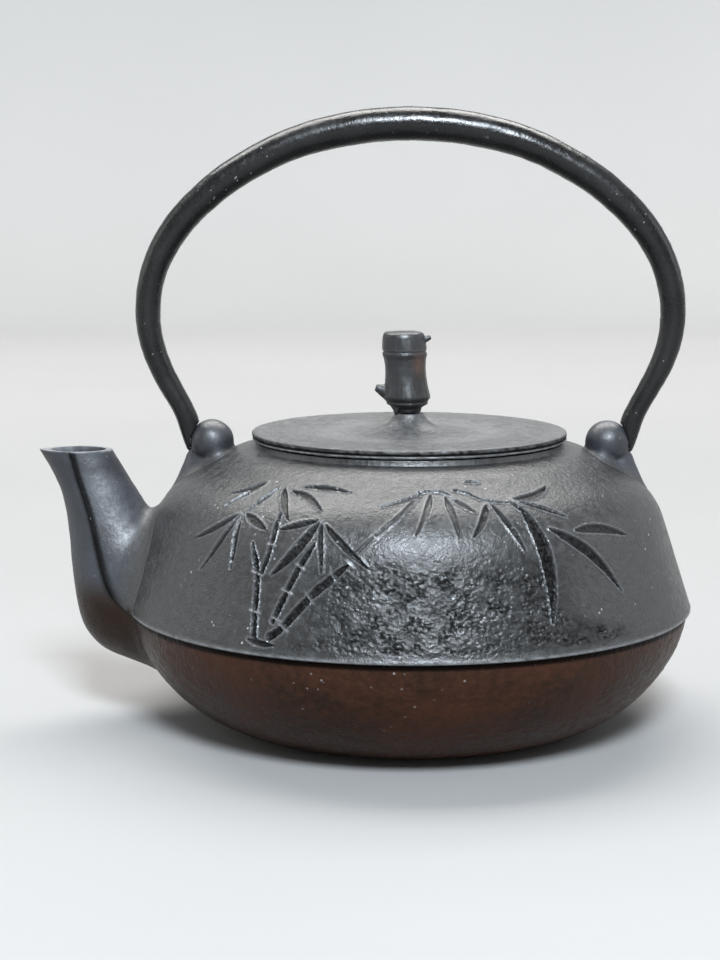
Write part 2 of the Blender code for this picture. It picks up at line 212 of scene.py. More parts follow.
def turnProfile(name, outline, steps):
    # an outline of (radius, height above the rim) in millimetres, drawn by extruding a point, then spun
    corners = [Vector((radius * mm, 0, rimZ + height * mm)) for radius, height in outline]
    bpy.ops.object.select_all(action="DESELECT")
    bpy.ops.mesh.primitive_plane_add(size=mm)
    bpy.ops.object.mode_set(mode="EDIT")
    bpy.ops.mesh.merge(type="CENTER")
    bpy.ops.transform.translate(value=corners[0])
    for before, corner in zip(corners, corners[1:]):
        bpy.ops.mesh.extrude_region_move(TRANSFORM_OT_translate={"value": corner - before})
    bpy.ops.mesh.select_all(action="SELECT")
    bpy.ops.mesh.spin(steps=steps, angle=math.tau, center=(0, 0, 0), axis=(0, 0, 1))
    bpy.ops.object.mode_set(mode="OBJECT")
    piece = named(bpy.context.object, name)
    faceOut(piece)
    return piece


def sweepRings(name, rings):
    # closed rings of equal length, skinned in order by extruding a circle, ends filled
    count = len(rings[0])
    bpy.ops.object.select_all(action="DESELECT")
    bpy.ops.mesh.primitive_circle_add(vertices=count, radius=1)
    bpy.ops.object.mode_set(mode="EDIT")
    for _ in rings[1:]:
        bpy.ops.mesh.extrude_region_move(TRANSFORM_OT_translate={"value": (0, 0, 1)})
    bpy.ops.mesh.select_all(action="SELECT")
    bpy.ops.mesh.fill_holes(sides=0)
    bpy.ops.object.mode_set(mode="OBJECT")
    piece = named(bpy.context.object, name)
    spots = spotsOf(piece)
    turns = np.round((np.arctan2(spots[:, 1], spots[:, 0]) - math.pi / 2) / math.tau * count).astype(int) % count
    levels = np.round(spots[:, 2]).astype(int)
    setSpots(piece, np.array(rings, float)[levels, turns])
    faceOut(piece)
    return piece


def combine(piece, tool, operation):
    pick(piece)
    step = piece.modifiers.new("combine", "BOOLEAN")
    step.operation = operation
    step.solver = "EXACT"
    step.object = tool
    bpy.ops.object.modifier_apply(modifier=step.name)
    bpy.data.objects.remove(tool)


def melt(piece, voxel, rounds):
    # joins what overlaps into one skin, then relaxes it so that inner corners become fillets
    pick(piece)
    skin = piece.modifiers.new("skin", "REMESH")
    skin.mode = "VOXEL"
    skin.voxel_size = voxel
    bpy.ops.object.modifier_apply(modifier=skin.name)
    relax = piece.modifiers.new("relax", "SMOOTH")
    relax.factor = 0.5
    relax.iterations = rounds
    bpy.ops.object.modifier_apply(modifier=relax.name)


def joinAll(pieces):
    bpy.ops.object.select_all(action="DESELECT")
    for piece in pieces:
        piece.select_set(True)
    bpy.context.view_layer.objects.active = pieces[0]
    bpy.ops.object.join()
    return pieces[0]


def fit(piece, body, material, nodes, crease=38):
    pick(piece)
    bpy.ops.object.shade_smooth_by_angle(angle=math.radians(crease))
    piece.data.materials.clear()
    piece.data.materials.append(material)
    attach(piece, body)
    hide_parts(*nodes)


def arcPoints(center, radius, start, end, steps):
    angles = np.radians(np.linspace(start, end, steps + 1))
    return [(center[0] + radius * math.cos(a), center[1] + radius * math.sin(a)) for a in angles]


def linePoints(start, end, steps):
    return [tuple(spot) for spot in np.linspace(start, end, steps + 1)]


def smoothPath(points, steps):       # Catmull-Rom through the points
    points = np.array([points[0], *points, points[-1]], float)
    path = []
    for a, b, c, d in zip(points, points[1:], points[2:], points[3:]):
        for t in np.arange(steps) / steps:
            path.append(0.5 * (2 * b + (c - a) * t + (2 * a - 5 * b + 4 * c - d) * t * t
                               + (3 * b - a - 3 * c + d) * t ** 3))
    path.append(points[-2])
    return path


# ---- materials

def castIron(name, look):
    # sand-cast skin: fine grain, mottling and bright specks; the masks come from the mesh: the hollows get painted
    # shade, and the raised edges a pale tone that is partly wear and partly painted highlight
    material, tree, shader, place = startMaterial(name)
    hollow = attributeOf(place, "hollow")
    edge = attributeOf(place, "edge")
    patches = noiseAt(place, 45, 3).between(0.35, 0.68)
    mottle = noiseAt(place, 420, 5, 0.62).between(0.36, 0.66)
    specks = specksAt(place, 330, 0.16) * noiseAt(place, 90, 2).between(0.52, 0.66)
    tone = mottle.over(look["dark"], look["light"])
    tone = (patches * look["patchiness"]).over(tone, look["patch"])
    # painted shade: recesses, pebble pits, the lid's side band and the places under overhangs go near-black
    tone = (hollow * 0.96).over(tone, look["shadeAndRustTone"])
    # partly wear and partly painted highlight on raised lips and rims
    tone = (edge * look["wearAndHighlight"]).over(tone, look["wearAndHighlightTone"])
    tone = (specks * look["specks"]).over(tone, look["fleck"])
    rough = look["rough"] + (mottle - 0.5) * 0.14 + patches * 0.06 + hollow * 0.18 - edge * 0.1
    grain = noiseAt(place, 1500, 3, 0.6).bump(0.00022, look["grain"])
    lumps = noiseAt(place, 620, 3, 0.55).bump(0.0006, look["lumps"], grain)
    # painted shade: the hollows also turn to colourless metal, which mirrors nothing and so looks darker
    metal = (hollow * look["depth"] + edge * 0.4).clip()      # a colourless metal mirrors nothing
    plug(tree, shader, Base_Color=tone, Roughness=rough.clip(), Normal=lumps, Metallic=metal,
         Specular_IOR_Level=look["mirror"])
    return material


def smoothIron(name, look):
    # finer casting, rubbed satin, with small raised grains; one mask carries painted shade (on the knob, real rust),
    # the edges get a pale tone that is partly wear and partly painted highlight, and the front's low part a brown that
    # is painted reflection of the table
    material, tree, shader, place = startMaterial(name)
    cloud = noiseAt(place, 70, 4).between(0.35, 0.68)
    speckle = noiseAt(place, 900, 4, 0.6).between(0.4, 0.66)
    flecks = specksAt(place, 420, 0.15) * noiseAt(place, 120, 2).between(0.5, 0.64)
    edge = attributeOf(place, "edge")
    hollow = attributeOf(place, "hollow")
    root = attributeOf(place, "root")
    low = attributeOf(place, "low")
    tone = cloud.over(look["dark"], look["light"])
    tone = root.over(tone, look["root"])
    # painted reflection: the spout's low front part takes the brown of the table
    tone = low.over(tone, look["low"])
    # painted shade in the spout's hollows; on the knob this mask is real rust
    tone = (hollow * look["stainAndShade"]).over(tone, look["shadeAndRustTone"])
    # partly wear and partly painted highlight on the lips
    tone = (edge * look["wearAndHighlight"]).over(tone, look["wearAndHighlightTone"])
    tone = (flecks * look["specks"]).over(tone, look["fleck"])
    rough = look["rough"] + (cloud - 0.5) * 0.1 + (speckle - 0.5) * 0.1 + hollow * 0.15 + root * 0.08
    grain = noiseAt(place, 1300, 3, 0.55).bump(0.0002, look["grain"])
    cast = noiseAt(place, 620, 3, 0.55) * root * 1.3      # as coarse as the pot where it joins the pot
    lumps = (noiseAt(place, 300, 3, 0.5) + cast).bump(0.0006, look["lumps"], grain)
    # painted shade and painted reflection: the hollows and the low part turn to metal, which mirrors only in their own
    # dark or brown tone
    metal = (hollow * look["depth"] + edge * 0.4 + low * 0.7).clip()
    plug(tree, shader, Base_Color=tone, Roughness=rough.clip(), Normal=lumps, Metallic=metal,
         Specular_IOR_Level=look["mirror"])
    return material


def brushedSteel(name, look):
    material, tree, shader, place = startMaterial(name)
    strokes = noiseAt(place, 60, 3, 0.6, stretch=look["stroke"])
    cloud = noiseAt(place, 40, 3).between(0.35, 0.7)
    stains = noiseAt(place, 25, 4, 0.65).between(0.56, 0.74)
    tone = cloud.over(look["dark"], look["light"])
    tone = (stains * 0.45).over(tone, look["stainAndShade"])
    rough = look["rough"] + (strokes - 0.5) * 0.25 + stains * 0.12
    plug(tree, shader, Base_Color=tone, Roughness=rough.clip(), Metallic=1.0,
         Normal=strokes.bump(0.00008, look["grain"]))
    return material


# In each look below, the near-black tone for hollows is painted shade, except on the knob, where it is a rust brown;
# the pale tone for edges is partly wear and partly painted highlight.
shellIron = castIron("shellIron", {
    "dark": gray(0.009, (1, 1.01, 1.03)), "light": gray(0.022), "patch": gray(0.019, (1.02, 1, 0.96)),
    "patchiness": 0.5, "shadeAndRustTone": gray(0.002), "wearAndHighlightTone": gray(0.26, (0.98, 1, 1.03)), "wearAndHighlight": 0.5,
    "fleck": gray(0.5), "specks": 0.4, "rough": 0.35, "depth": 0.9, "mirror": 0.45, "grain": 0.6, "lumps": 0.4})
# painted reflection: the bowl's brown tint is the brown of the wooden table reflected in the dark iron
bowlIron = castIron("bowlIron", {
    "dark": gray(0.006, (2.2, 0.9, 0.45)), "light": gray(0.012, (2.2, 0.85, 0.42)),
    "patch": gray(0.018, (2.4, 0.8, 0.35)), "patchiness": 0.5, "shadeAndRustTone": gray(0.001),
    "wearAndHighlightTone": gray(0.10, (1.1, 1, 0.9)), "wearAndHighlight": 0.4, "fleck": gray(0.4), "specks": 0.3,
    "rough": 0.38, "depth": 0.9, "mirror": 0.14, "grain": 0.55, "lumps": 0.6})
lidIron = castIron("lidIron", {
    "dark": gray(0.032), "light": gray(0.060), "patch": gray(0.052, (1.01, 1, 0.98)), "patchiness": 0.4,
    "shadeAndRustTone": gray(0.003), "wearAndHighlightTone": gray(0.24), "wearAndHighlight": 0.5, "fleck": gray(0.45), "specks": 0.3,
    "rough": 0.42, "depth": 0.9, "mirror": 0.5, "grain": 0.6, "lumps": 0.35})
# painted sheen and painted reflection: the blue tint stands for the bluish window light on the satin iron, and the
# brown low tone for the table mirrored in the spout's underside
satinIron = smoothIron("satinIron", {
    "dark": gray(0.008, (0.85, 1, 1.35)), "light": gray(0.018, (0.85, 1, 1.3)), "shadeAndRustTone": gray(0.002),
    "stainAndShade": 0.95, "wearAndHighlightTone": gray(0.30, (0.98, 1, 1.04)), "wearAndHighlight": 0.6, "fleck": gray(0.45), "specks": 0.2,
    "root": gray(0.016), "low": gray(0.008, (2.0, 0.85, 0.4)), "rough": 0.52, "depth": 0.9, "mirror": 0.6,
    "grain": 0.3, "lumps": 0.3})
blackIron = smoothIron("blackIron", {
    "dark": gray(0.002, (1, 1, 1.06)), "light": gray(0.005), "shadeAndRustTone": gray(0.002), "stainAndShade": 0.5,
    "wearAndHighlightTone": gray(0.2), "wearAndHighlight": 0.4, "fleck": gray(0.35), "specks": 0.4, "root": gray(0.01),
    "low": gray(0.01), "rough": 0.31, "depth": 0.5, "mirror": 0.33, "grain": 0.3, "lumps": 0.25})
# painted sheen: the knob's blue tint stands for the bluish window light on it
knobIron = smoothIron("knobIron", {
    "dark": gray(0.003, (0.95, 1, 1.15)), "light": gray(0.008, (0.95, 1, 1.15)),
    "shadeAndRustTone": gray(0.045, (1.8, 0.8, 0.42)), "stainAndShade": 0.6, "wearAndHighlightTone": gray(0.18), "wearAndHighlight": 0.4,
    "fleck": gray(0.4), "specks": 0.15, "root": gray(0.01), "low": gray(0.01), "rough": 0.46,
    "depth": 0.0, "mirror": 0.62, "grain": 0.25, "lumps": 0.25})
sheetSteel = brushedSteel("sheetSteel", {
    "dark": gray(0.50), "light": gray(0.62), "stainAndShade": gray(0.42, (1.06, 0.98, 0.86)), "rough": 0.3,
    "grain": 0.3, "stroke": (1, 1, 14)})
wireSteel = brushedSteel("wireSteel", {
    "dark": gray(0.42), "light": gray(0.55), "stainAndShade": gray(0.30, (1.1, 0.95, 0.78)), "rough": 0.36,
    "grain": 0.2, "stroke": (3, 3, 3)})


# ---- the pot's upper shell, with the bamboo relief

shell = {
    "rim": 90.5,             # radius at the parting line, millimetres
    "lean": math.atan(0.322),
    "coneTop": 28.0,         # heights count from the parting line
    "shoulderArc": 24.0,
    "collarArc": 20.7,
    "wall": 3.5,
    "columns": 360,
    "cuts": 3,               # how often a face near the relief is cut
    "leafDepth": 0.8,
    "lipHeight": 0.30,
    "pebbles": 0.48,
}
shoulderCenter = (shell["rim"] - math.tan(shell["lean"]) * shell["coneTop"]
                  - shell["shoulderArc"] * math.cos(shell["lean"]),
                  shell["coneTop"] - shell["shoulderArc"] * math.sin(shell["lean"]))


def sideProfile(inset, steps):
    # the leaning side and the shoulder's arc, inset from the outer face
    foot = (shell["rim"] - inset / math.cos(shell["lean"]), 0.0)
    arc = arcPoints(shoulderCenter, shell["shoulderArc"] - inset, math.degrees(shell["lean"]), 60, steps)
    return linePoints(foot, arc[0], steps * 2)[:-1] + arc


outerSide = sideProfile(0.0, 11)
collarStart = (60.0, 47.55)
collarCenter = (collarStart[0] - shell["collarArc"] * 0.5,
                collarStart[1] - shell["collarArc"] * math.sin(math.radians(60)))
outerSide += linePoints(outerSide[-1], collarStart, 8)[1:]
outerSide += arcPoints(collarCenter, shell["collarArc"], 60, 84, 7)[1:]
sideRadii = np.array([radius for radius, _ in outerSide])
sideHeights = np.array([height for _, height in outerSide])


def onSide(around, height):          # a point on the side, from degrees around and height
    radius = np.interp(height, sideHeights, sideRadii)
    turn = np.radians(around)
    return np.stack([radius * np.sin(turn), -radius * np.cos(turn), height + 0 * radius], axis=-1)


sprays = [   # the root in degrees around and height, the depth, then each leaf's lean, start, length, width, bend
    (-40.5, 38, 0.7, [(-58, 2, 18.5, 2.0, 0.6), (-28, 1.5, 23, 1.8, 0.8), (7, 1.5, 18, 1.8, 0.5),
                      (70, 2, 11.5, 2.6, 0)]),
    (-41.5, 45.5, 0.75, [(-70, 0.5, 13, 1.9, 0.5), (-47, 0.5, 12, 1.9, 0)]),
    (-35.5, 45.5, 0.8, [(-34, 2, 8, 1.7, 0), (50, 2, 13.5, 2.1, 0.3), (74, 6, 17, 2.3, 1), (88, 10, 20, 2.0, 0.5)]),
    (-19.5, 38, 0.9, [(-74, 1.5, 13, 2.0, 0), (-36, 1.5, 22, 3.0, 0.8), (9, 1, 17, 1.4, 0.3),
                      (49, 2.5, 20, 1.9, 0)]),
    (6, 45.5, 0.5, [(-77, 4.5, 15.5, 1.6, 0.5), (-28, 1.5, 13.5, 1.8, 0.3)]),
    (9, 45, 0.55, [(10, 1.5, 12.5, 2.0, 0.3), (58, 3.5, 7.5, 1.8, 0)]),
    (19.5, 43, 0.85, [(-39, 2, 12, 2.1, 0.3), (25, 1.5, 17, 1.8, 0.4)]),
    (26, 42.5, 0.75, [(70, 2.5, 16.5, 2.1, 0.6), (98, 1, 18.5, 2.6, -0.8)]),
    (26.9, 41, 1.0, [(3, 0.5, 37.5, 4.2, 2.7)]),
    (25, 42.3, 0.7, [(42, 0, 4.5, 1.6, 0)]),
    (31.8, 34.7, 0.9, [(44, 0, 33.5, 3.4, 2.9)]),
    (38.5, 33.5, 0.7, [(79, 0, 23, 2.9, 1.4)]),
    (15.8, 47.2, 0.6, [(88, 0, 6.5, 1.2, 0)]),
    (-31.5, 3.6, 0.8, [(84, 0, 9, 1.7, -0.4)]),
]
stems = [    # corners as degrees around and height, then the stem's width and how deep it is cut
    ([(-30.2, 4), (-30.9, 11.3), (-31.9, 21.9), (-34.4, 30)], 1.9, 1.0),
    ([(-30.9, 22.4), (-29.7, 30.2), (-30.1, 38.8)], 1.5, 0.9),
    ([(-26.6, 9.5), (-24.5, 17.8), (-22.4, 25), (-19.8, 31.5)], 1.8, 1.0),
    ([(-26.8, 5), (-24.4, 8), (-19.6, 16.6), (-15.1, 22.7), (-12, 26.6)], 2.4, 1.0),
    ([(-10.8, 29.6), (-7.3, 34.2), (-2, 39.7), (3, 44.7)], 1.3, 0.45),
    ([(2.7, 45), (7.8, 45.2), (10.6, 44.1)], 1.0, 0.6),
    ([(12, 45.3), (14.5, 44.9), (18.5, 42.8), (24.9, 41.9)], 1.0, 0.7),
]
joints = [   # the bamboo's nodes: degrees around, height, length and slant of the raised bar
    (-30.9, 11.3, 3.4, 9), (-31.9, 21.9, 3.8, 13), (-29.7, 30.2, 2.4, 5), (-26, 10, 3.0, 20),
    (-24.5, 17.8, 3.2, 24), (-22.4, 25, 3.0, 34), (-24.4, 8, 4.2, 36), (-19.6, 16.6, 4.4, 50),
    (-15.1, 22.7, 4.2, 54), (-12, 26.6, 3.4, 44), (-7.3, 34.2, 2.4, 45),
]
degreeWide = 1.45    # about how many millimetres a degree around and a millimetre up are on the side
riseLong = 1.15


def alongPath(spots, corners):
    # distance of each spot to a path, how far along it, and on which side
    lengths = np.linalg.norm(np.diff(corners, axis=0), axis=1)
    starts = np.concatenate([[0], np.cumsum(lengths)])
    nearest = np.full(len(spots), 1e9)
    along = np.zeros(len(spots))
    side = np.zeros(len(spots))
    outward = spots * (1, 1, 0) / np.linalg.norm(spots[:, :2], axis=1)[:, None]
    for index, (first, last) in enumerate(zip(corners, corners[1:])):
        run = last - first
        share = np.clip((spots - first) @ run / (run @ run), 0, 1)
        away = spots - first - share[:, None] * run
        distance = np.linalg.norm(away, axis=1)
        closer = distance < nearest
        nearest[closer] = distance[closer]
        along[closer] = ((starts[index] + share * lengths[index]) / starts[-1])[closer]
        side[closer] = np.sign(np.einsum("ij,ij->i", np.cross(run, away), outward))[closer]
    return nearest, along, side


def leafPath(root, leaf):
    lean, start, length, _, bend = leaf
    turn = math.radians(lean)
    share = np.linspace(0, 1, 9)
    along = start + length * share
    bow = bend * np.sin(share * math.pi)
    sideways = along * math.sin(turn) + bow * math.cos(turn)
    upward = bow * math.sin(turn) - along * math.cos(turn)
    return onSide(root[0] + sideways / degreeWide, root[1] + upward / riseLong)


def stemPath(corners):
    path = np.array(smoothPath(corners, 5))
    return onSide(path[:, 0], path[:, 1])


def pebbleArea(spots):               # where the shell's skin is pebbled, 0 to 1
    around = np.degrees(np.arctan2(spots[:, 0], -spots[:, 1]))
    height = spots[:, 2]
    reach = 27 + 14 * (1 - smoothStep(3, 12, height))
    start = -22 - 9 * (1 - smoothStep(2, 7, height))
    sides = smoothStep(start, start + 12, around) * (1 - smoothStep(reach, reach + 10, around))
    return sides * smoothStep(1.2, 3, height) * (1 - smoothStep(22, 31, height))


def nearRelief(spots):
    near = pebbleArea(spots) > 0.02
    for around, height, _, leaves in sprays:
        for leaf in leaves:
            near |= alongPath(spots, leafPath((around, height), leaf))[0] < leaf[3] / 2 + 1.6
    for corners, width, _ in stems:
        near |= alongPath(spots, stemPath(corners))[0] < width / 2 + 2.2
    return near


def carveRelief(spots):
    # how far each spot of the side moves out, and the masks of hollow and raised iron
    carve = np.zeros(len(spots))
    lip = np.zeros(len(spots))
    ragged = grainOf(spots, 0.9) * 0.18
    for around, height, depth, leaves in sprays:
        for leaf in leaves:
            distance, along, side = alongPath(spots, leafPath((around, height), leaf))
            breadth = leaf[3] / 2 * np.sin(math.pi * np.clip(along, 0.02, 0.999) ** 0.75) ** 0.75
            gap = distance - breadth + ragged
            carve = np.maximum(carve, depth * (1 - smoothStep(-0.32, 0.15, gap)))
            strength = np.where(side > 0, 0.75, 1.1) * depth ** 0.5
            lip = np.maximum(lip, strength * np.exp(-((gap - 0.26) / 0.26) ** 2) * (breadth > 0.12))
    nodes = onSide(np.array([joint[0] for joint in joints]), np.array([joint[1] for joint in joints]))
    nodeGap = np.linalg.norm(spots[:, None] - nodes, axis=2).min(axis=1)
    pinch = 1 - 0.3 * np.exp(-(nodeGap / 1.5) ** 2)
    for corners, width, depth in stems:
        distance, along, side = alongPath(spots, stemPath(corners))
        taper = 1 - 0.55 * smoothStep(0.8, 1.0, along)
        gap = distance - width / 2 * pinch * taper + ragged * 1.5
        carve = np.maximum(carve, depth * (1 - smoothStep(-0.32, 0.15, gap)))
        strength = np.where(side > 0, 0.7, 1.15)
        lip = np.maximum(lip, strength * np.exp(-((gap - 0.22) / 0.26) ** 2))
    lip *= 1 - smoothStep(0.15, 0.6, carve)
    for around, height, length, slant in joints:
        turn = math.radians(around)
        middle = onSide(around, height)
        across = np.array([math.cos(turn), math.sin(turn), 0]) * math.cos(math.radians(slant))
        across = across + np.array([0, 0, -math.sin(math.radians(slant))])
        distance, _, _ = alongPath(spots, np.array([middle - across * length / 2, middle + across * length / 2]))
        bar = np.exp(-(distance / 0.42) ** 2)
        carve *= 1 - bar
        lip = np.maximum(lip, bar * 1.6)
    return carve, np.clip(lip, 0, 1.6)


def pebbleBumps(spots):
    wide = np.stack([spots[:, 0] / 1.15, spots[:, 1] / 1.15, spots[:, 2]], axis=-1)
    warped = wide + np.stack([grainOf(wide, 1.3), grainOf(wide + 7, 1.3), grainOf(wide + 13, 1.3)], axis=-1) * 0.5
    cells = np.array([noise.voronoi(Vector(spot))[0][0] for spot in warped / 0.95])
    pits = smoothStep(0.45, 0.8, cells) * smoothStep(-0.2, 0.25, grainOf(wide, 4.0))
    chips = grainOf(warped, 0.75) + 0.6 * grainOf(warped, 1.4)
    return 0.12 - pits * 0.8 + np.sign(chips) * np.abs(chips) ** 0.8 * 0.34 + grainOf(wide, 4.5) * 0.45


def makeShell(bore):
    wall = shell["wall"]
    foot = [(shell["rim"] - 0.35, -0.85), (shell["rim"] + 0.12, -0.5), (shell["rim"] + 0.16, -0.1),
            (shell["rim"] + 0.02, 0.3), (shell["rim"] - 0.36, 0.7)]
    side = [corner for corner in outerSide if corner[1] > 1.0]
    collar = [(50.7, 50.35), (50.0, 50.6), (49.7, 51.1), (49.6, 51.9), (49.5, 52.15), (49.2, 52.3), (47.3, 52.3),
              (46.95, 52.15), (46.8, 51.8), (46.8, 50.7), (44.3, 50.7), (44.0, 50.4), (44.0, 47.4), (44.4, 46.9)]
    inside = sideProfile(wall, 7)[::-1]
    throat = [(50.0, 46.4), (58.0, 44.9)]
    outline = foot + side + collar + throat + inside + [(shell["rim"] - wall - 0.2, -0.85), foot[0]]
    piece = turnProfile("pot_shell_skin", outline, shell["columns"])
    combine(piece, bore, "DIFFERENCE")

    pick(piece)
    centers = np.array([face.center for face in piece.data.polygons]) / mm - (0, 0, rimZ / mm)
    outside = np.hypot(centers[:, 0], centers[:, 1]) > np.interp(centers[:, 2], sideHeights, sideRadii) - 1.0
    front = outside & (centers[:, 1] < -20) & (centers[:, 2] > 0.6) & (centers[:, 2] < 48.6)
    picked = front.copy()
    picked[front] = nearRelief(centers[front])
    bpy.context.tool_settings.mesh_select_mode = (False, False, True)
    bpy.ops.object.mode_set(mode="EDIT")
    bpy.ops.mesh.select_all(action="DESELECT")
    bpy.ops.object.mode_set(mode="OBJECT")
    piece.data.polygons.foreach_set("select", picked)
    bpy.ops.object.mode_set(mode="EDIT")
    bpy.ops.mesh.subdivide(number_cuts=shell["cuts"])
    bpy.ops.object.mode_set(mode="OBJECT")
    bpy.context.tool_settings.mesh_select_mode = (True, False, False)
    shapeShell(piece)
    fit(piece, "pot", shellIron, ["pot_shell"])
    return piece


def shapeShell(piece):
    spots = spotsOf(piece) / mm - (0, 0, rimZ / mm)
    radius = np.hypot(spots[:, 0], spots[:, 1])
    true = np.interp(spots[:, 2], sideHeights, sideRadii)
    skin = (radius > true - 0.9) & (spots[:, 2] > 0.5) & (spots[:, 2] < 50.2)
    face = spots[skin]
    around = np.arctan2(face[:, 0], -face[:, 1])
    height = face[:, 2]
    exact = np.interp(height, sideHeights, sideRadii)
    slope = np.gradient(sideRadii, sideHeights)
    tilt = -np.interp(height, sideHeights, slope)
    normal = np.stack([np.sin(around), -np.cos(around), tilt], axis=-1)
    normal /= np.linalg.norm(normal, axis=1)[:, None]
    snapped = np.stack([exact * np.sin(around), -exact * np.cos(around), height], axis=-1)

    hollow = np.zeros(len(spots))
    edge = np.zeros(len(spots))
    carve = np.zeros(len(face))
    lip = np.zeros(len(face))
    front = (face[:, 1] < -20) & (height < 48.8)
    carve[front], lip[front] = carveRelief(snapped[front])
    pebbled = pebbleArea(snapped) * (face[:, 1] < 0)
    bumps = np.zeros(len(face))
    some = pebbled > 0.01
    bumps[some] = pebbleBumps(snapped[some]) * pebbled[some] * (1 - 0.8 * carve[some])
    swell = grainOf(snapped, 9.0) * 0.10 + grainOf(snapped, 3.4) * 0.05
    floorGrain = grainOf(snapped, 0.8) * 0.12 * carve
    out = bumps * shell["pebbles"] + swell * smoothStep(0.5, 3, height) + floorGrain
    out += lip * shell["lipHeight"] - carve * shell["leafDepth"]
    spots[skin] = snapped + normal * out[:, None]
    grit = np.clip(0.8 + 0.5 * grainOf(snapped, 0.9), 0, 1)
    # painted shade: the leaf recesses and the pits between the pebbles are darkened
    hollow[skin] = np.maximum(carve * grit, pebbled * np.clip(0.42 - bumps * 0.9, 0, 0.8))
    # partly wear and partly painted highlight: the raised lips are lighter, more on one side
    edge[skin] = lip * 0.6

    rimBand = (radius > shell["rim"] - 1.2) & (spots[:, 2] < 0.9)
    chips = grainOf(spots[rimBand], 1.6) + 0.6 * grainOf(spots[rimBand], 0.8)
    spots[rimBand, 2] += chips * 0.10
    spots[rimBand, :2] *= (1 + (chips * 0.12 - 0.05) / shell["rim"])[:, None]
    # partly chipping wear and partly painted highlight: a pale line along the parting rim
    edge[rimBand] = np.clip(0.75 + chips * 0.9, 0, 1.3) * np.exp(-((spots[rimBand, 2] + 0.15) / 0.36) ** 2)
    setSpots(piece, (spots + (0, 0, rimZ / mm)) * mm)
    setMask(piece, "hollow", hollow)
    setMask(piece, "edge", edge)


# ---- the pot's lower bowl

bowl = {"rim": 89.45, "flat": 46.0, "depth": 39.0, "power": 1.7, "wall": 3.5, "columns": 300, "lumps": 0.17}


def bowlCurve(rim, flat, depth, steps):
    # from the flat up to the rim: steep at the rim, level at the flat
    turns = np.linspace(0, math.pi / 2, steps + 1)
    return [(flat + (rim - flat) * math.sin(turn), -depth * math.cos(turn) ** (2 / bowl["power"]))
            for turn in turns]


def makeBowl(bore):
    outer = [corner for corner in bowlCurve(bowl["rim"], bowl["flat"], bowl["depth"], 56) if corner[1] < -1.7]
    lip = [(bowl["rim"] - 0.05, -1.6), (bowl["rim"] - 0.1, -1.15), (bowl["rim"] - 0.4, -0.95)]
    innerRim = bowl["rim"] - bowl["wall"]
    inner = bowlCurve(innerRim, bowl["flat"] - bowl["wall"], bowl["depth"] - bowl["wall"], 20)
    inner = [corner for corner in inner if corner[1] < -1.7][::-1]
    flat = linePoints((0.0, -39.0), (45.0, -39.0), 8)
    outline = flat + outer + lip + [(innerRim, -0.95)] + inner + [(0.0, inner[-1][1])]
    piece = turnProfile("pot_bowl_skin", outline, bowl["columns"])
    combine(piece, bore, "DIFFERENCE")
    spots = spotsOf(piece) / mm - (0, 0, rimZ / mm)
    radius = np.hypot(spots[:, 0], spots[:, 1])
    curve = np.array(outer)
    true = np.interp(spots[:, 2], curve[:, 1], curve[:, 0])
    skin = (radius > true - 0.9) & (spots[:, 2] < -1.5) & (spots[:, 2] > -38.5)
    face = spots[skin]
    outward = face - np.array([0, 0, 6.0])
    outward[:, 2] *= 1.9
    outward /= np.linalg.norm(outward, axis=1)[:, None]
    stretched = face * (1, 1, 1.4)
    lumps = grainOf(stretched, 4.2) + 0.7 * grainOf(stretched, 2.0) + 0.8 * grainOf(face, 11.0)
    fade = smoothStep(1.5, 4, -face[:, 2])
    spots[skin] = face + outward * (lumps * bowl["lumps"] * fade)[:, None]
    setSpots(piece, (spots + (0, 0, rimZ / mm)) * mm)
    hollow = np.zeros(len(spots))
    # painted shadow: the bowl's top, under the shell's overhanging rim, is darkened
    hollow[(spots[:, 2] > -2.4) & (radius > 80)] = 0.9
    setMask(piece, "hollow", hollow)
    fit(piece, "pot", bowlIron, ["pot_bowl"])
    return piece


# ---- the spout

spout = {
    # back x, height; ridge x, height; front x, height; half width at the ridge
    "stations": [
        (-70, 30, -76, -2, -74, -26, 26), (-78, 30.2, -87, -0.2, -88, -20.8, 22.5),
        (-81.6, 29.6, -91, 1.6, -98.2, -16.9, 20), (-83.6, 29.6, -94.8, 5.6, -104.2, -11.6, 17.8),
        (-84.9, 30.6, -97.2, 10.5, -107.2, -5, 16), (-86, 32.2, -98.6, 15.5, -108.6, 3, 14.5),
        (-87.4, 34.4, -100, 21, -109.6, 12.3, 13), (-89.3, 37.6, -101.6, 27.6, -110.4, 23.5, 11.4),
        (-91.4, 41.2, -103.6, 34.2, -112.2, 34, 10), (-93.5, 44.8, -105.8, 40.4, -115.4, 41.8, 8.9),
        (-95.9, 48.8, -108, 48.8, -119.4, 48.8, 8.2)],
    # the waterway, from inside the pot's wall to above the mouth
    "bore": [
        (-66, 16, -68, 6, -68, -5, 11), (-84, 18, -88, 6, -90, -8, 11.5), (-88.5, 24, -96, 10.5, -102, -3, 11),
        (-90.6, 30.5, -99, 16, -104.8, 7, 10), (-92.6, 36.5, -101.5, 26, -106.6, 21, 8.6),
        (-95.6, 43, -104, 37, -109.6, 36, 7), (-97.9, 48.9, -107.4, 48.9, -116.0, 48.9, 6.6),
        (-98.3, 51, -107.6, 51, -116.6, 51, 6.6)],
    "step": 1.0,             # the back half overhangs the front half by this much
    "point": 0.6,            # how pointed the front is at the mouth
    "fillet": 3.4,
}


